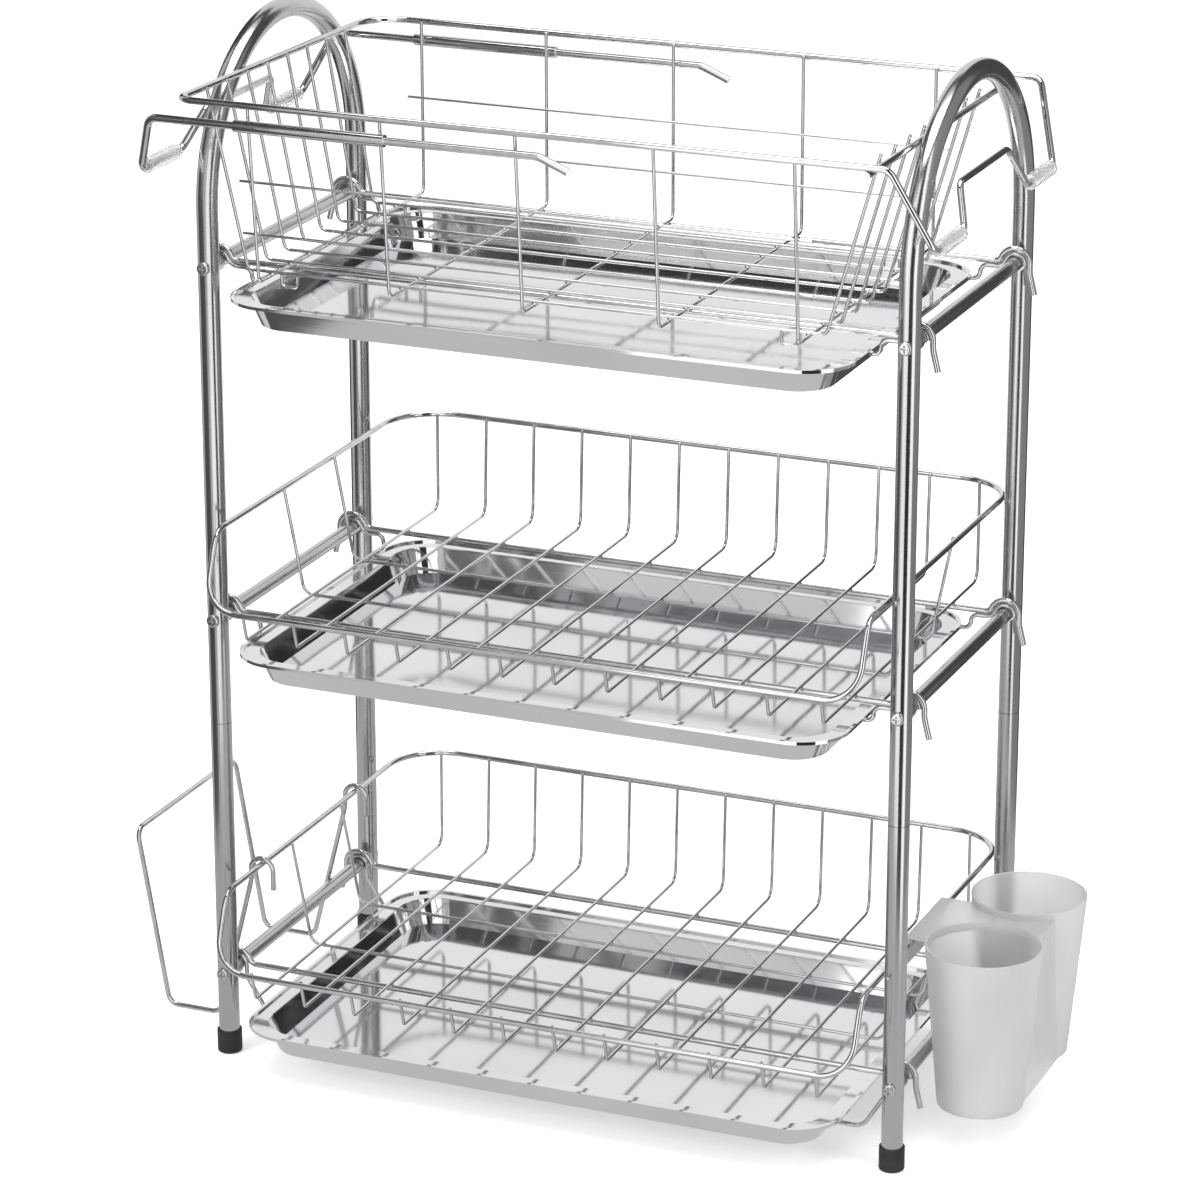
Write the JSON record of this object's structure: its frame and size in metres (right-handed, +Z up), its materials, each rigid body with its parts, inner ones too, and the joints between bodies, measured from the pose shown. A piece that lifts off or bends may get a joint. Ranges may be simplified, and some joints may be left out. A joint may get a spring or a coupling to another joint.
{
  "type": "dish drying rack",
  "caption": "Freestanding tiered dish drying rack with hoop-topped legs, wire baskets, slide-out drip trays, an extending over-sink basket, a cutlery cup and a board holder.",
  "frame": {"origin": "middle of the overall footprint, on the floor plane under the rubber feet", "axes": "+Z up, +X to the right along the tiers seen from the front, +Y from the front to the back"},
  "size_m": [0.7175, 0.3623, 0.798],
  "materials": {
    "brushed_tube": "brushed along the tube, bright",
    "chrome_wire": "polished",
    "tray_sheet": "bright rolled sheet",
    "screw_steel": "plated",
    "plug_plastic": "matte",
    "foot_rubber": "matte",
    "clear_grip": "clear soft sleeve",
    "cup_plastic": "frosted translucent"
  },
  "bodies": {
    "rack": {"cross_tube_lower_left": "brushed_tube", "cross_tube_lower_right": "brushed_tube", "cross_tube_middle_left": "brushed_tube", "cross_tube_middle_right": "brushed_tube", "cross_tube_upper_left": "brushed_tube", "cross_tube_upper_right": "brushed_tube", "dish_rim_lower": "chrome_wire", "dish_rim_middle": "chrome_wire", "dish_wires_lower": "chrome_wire", "dish_wires_middle": "chrome_wire", "foot_front_left": "foot_rubber", "foot_front_right": "foot_rubber", "foot_rear_left": "foot_rubber", "foot_rear_right": "foot_rubber", "hoop_left": "brushed_tube", "hoop_right": "brushed_tube", "lower_leg_front_left": "brushed_tube", "lower_leg_front_right": "brushed_tube", "lower_leg_rear_left": "brushed_tube", "lower_leg_rear_right": "brushed_tube", "screws": "screw_steel", "shelf_wire_lower_front": "chrome_wire", "shelf_wire_lower_rear": "chrome_wire", "shelf_wire_middle_front": "chrome_wire", "shelf_wire_middle_rear": "chrome_wire", "shelf_wire_upper_front": "chrome_wire", "shelf_wire_upper_rear": "chrome_wire", "side_wires_lower": "chrome_wire", "side_wires_middle": "chrome_wire", "tray_rail_middle_left": "chrome_wire", "tray_rail_middle_right": "chrome_wire", "tray_rail_upper_left": "chrome_wire", "tray_rail_upper_right": "chrome_wire", "tray_wire_lower_front": "chrome_wire", "tray_wire_lower_rear": "chrome_wire", "tube_plugs": "plug_plastic"},
    "tray_upper": {"tray_upper": "tray_sheet"},
    "tray_middle": {"tray_middle": "tray_sheet"},
    "tray_lower": {"tray_lower": "tray_sheet"},
    "sink_basket": {"sink_basket_rim": "chrome_wire", "sink_basket_end_bar": "chrome_wire", "sink_basket_long_wires": "chrome_wire", "sink_basket_cross_wires": "chrome_wire", "sink_basket_stiffeners": "chrome_wire", "sink_basket_foot_loops": "chrome_wire", "sink_basket_sleeves": "chrome_wire", "sink_basket_grips": "clear_grip"},
    "sliding_arm": {"sliding_arm": "chrome_wire", "sliding_arm_grips": "clear_grip"},
    "cutlery_cup": {"cutlery_cup": "cup_plastic"},
    "board_holder": {"board_holder": "chrome_wire"}
  },
  "joints": [
    {"name": "tray_upper_slide", "type": "slide", "parent": "rack", "child": "tray_upper", "axis": [0, -1, 0], "range_m": [0, 0.2]},
    {"name": "tray_middle_slide", "type": "slide", "parent": "rack", "child": "tray_middle", "axis": [0, -1, 0], "range_m": [0, 0.2]},
    {"name": "tray_lower_slide", "type": "slide", "parent": "rack", "child": "tray_lower", "axis": [0, -1, 0], "range_m": [0, 0.2]},
    {"name": "sink_basket_lift", "type": "slide", "parent": "rack", "child": "sink_basket", "axis": [0, 0, 1], "range_m": [0, 0.18]},
    {"name": "arm_slide", "type": "slide", "parent": "sink_basket", "child": "sliding_arm", "axis": [-1, 0, 0], "range_m": [0, 0.1]},
    {"name": "cup_lift", "type": "slide", "parent": "rack", "child": "cutlery_cup", "axis": [0, 0, 1], "range_m": [0, 0.15]},
    {"name": "board_holder_lift", "type": "slide", "parent": "rack", "child": "board_holder", "axis": [0, 0, 1], "range_m": [0, 0.14]}
  ]
}
